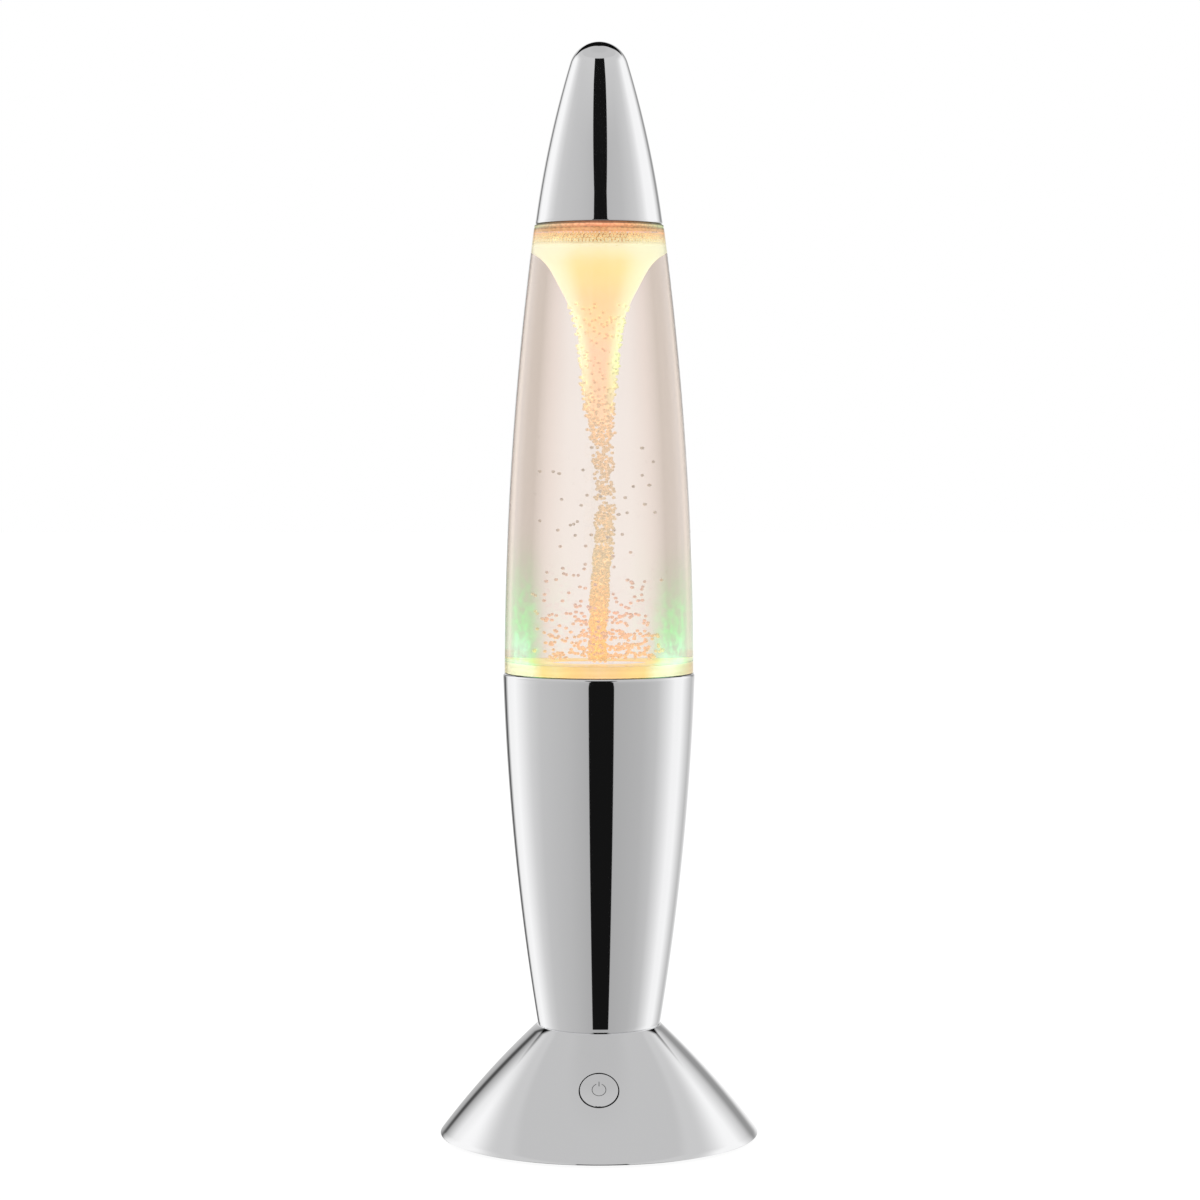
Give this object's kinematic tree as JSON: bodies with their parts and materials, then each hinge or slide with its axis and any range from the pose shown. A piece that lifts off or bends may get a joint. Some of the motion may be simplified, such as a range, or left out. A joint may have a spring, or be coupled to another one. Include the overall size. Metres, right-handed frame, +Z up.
{
  "type": "tornado lamp",
  "caption": "Battery table lamp: a chrome stand with a power button carries a clear bottle of water and beads, stirred into a funnel by a magnetic drive, under a chrome cap.",
  "frame": {"origin": "centre of the footprint, on the surface that the lamp stands on", "axes": "+Z up along the lamp's axis, and the power button faces -Y"},
  "size_m": [0.0994, 0.0994, 0.3407],
  "materials": {
    "chrome_plate": "bright chrome plate on ABS",
    "clear_acrylic": "clear polished acrylic",
    "milky_acrylic": "translucent moulded acrylic",
    "water": "clear water, a liquid",
    "beads": "translucent polystyrene beads",
    "black_rubber": "matte moulded rubber",
    "black_plastic": "fine textured black ABS",
    "white_plastic": "natural white acetal",
    "green_board": "green solder mask on glass-fibre board",
    "white_board": "white solder mask on glass-fibre board",
    "chip_black": "moulded epoxy",
    "zinc_steel": "zinc plated",
    "bright_steel": "nickel plated, bright",
    "tinned_brass": "tinned at the ends",
    "nickel_magnet": "nickel plated neodymium",
    "green_lens": "tinted clear epoxy lens",
    "amber_lens": "tinted clear epoxy lens",
    "red_wire": "PVC insulation",
    "yellow_wire": "PVC insulation",
    "cell_jacket": "printed jacket over a steel can, plain green"
  },
  "bodies": {
    "stand": {"base_shell": "chrome_plate", "switch_body": "black_plastic", "switch_board": "green_board", "switch_screws": "zinc_steel", "base_plate": "black_plastic", "base_screws": "zinc_steel", "rubber_feet": "black_rubber", "door_pin": "bright_steel", "battery_cells": "cell_jacket", "contact_plates": "bright_steel", "contact_springs": "bright_steel", "battery_wires": "red_wire", "switch_wires": "yellow_wire", "cup": "chrome_plate", "cup_screws": "zinc_steel", "control_board": "green_board", "control_chips": "chip_black", "control_screws": "zinc_steel", "motor_can": "zinc_steel", "motor_end_bell": "white_plastic", "motor_terminals": "tinned_brass", "motor_screws": "zinc_steel", "motor_bracket": "white_plastic", "bracket_screws": "zinc_steel", "motor_wires": "red_wire", "led_wires": "yellow_wire", "led_board": "white_board", "led_board_screws": "zinc_steel", "green_leds": "green_lens", "amber_leds": "amber_lens", "pivot_pin": "bright_steel", "bottle_shell": "clear_acrylic", "bottle_floor": "clear_acrylic", "bottle_lid": "milky_acrylic", "fill_plug": "black_rubber"},
    "cap": {"top_cap": "chrome_plate"},
    "rotor": {"motor_shaft": "bright_steel", "magnet_carrier": "white_plastic", "drive_magnets": "nickel_magnet"},
    "stirrer": {"stirrer": "white_plastic", "stirrer_magnets": "nickel_magnet"},
    "swirl": {"water": "water", "funnel_beads": "beads", "loose_beads": "beads"},
    "button": {"power_button": "chrome_plate", "switch_plunger": "black_plastic"},
    "door": {"battery_door": "black_plastic"}
  },
  "joints": [
    {"name": "button_press", "type": "slide", "parent": "stand", "child": "button", "axis": [0, 0.7413, -0.6712], "range_m": [0, 0.001], "stiffness_N_per_m": 300, "springref_m": -0.001},
    {"name": "motor_spin", "type": "hinge", "parent": "stand", "child": "rotor", "pos_m": [0, 0, 0.13], "axis": [0, 0, 1], "continuous": true},
    {"name": "stirrer_spin", "type": "hinge", "parent": "stand", "child": "stirrer", "pos_m": [0, 0, 0.142], "axis": [0, 0, 1], "continuous": true},
    {"name": "swirl_spin", "type": "hinge", "parent": "stand", "child": "swirl", "pos_m": [0, 0, 0.2], "axis": [0, 0, 1], "continuous": true},
    {"name": "cap_lift", "type": "slide", "parent": "stand", "child": "cap", "axis": [0, 0, 1], "range_m": [0, 0.06]},
    {"name": "door_swing", "type": "hinge", "parent": "stand", "child": "door", "pos_m": [-0.03025, 0, 0.0027], "axis": [0, 1, 0], "range_deg": [0, 95]}
  ],
  "couplings": [
    {"joint": "stirrer_spin", "follows": "motor_spin", "ratio": 1}
  ]
}
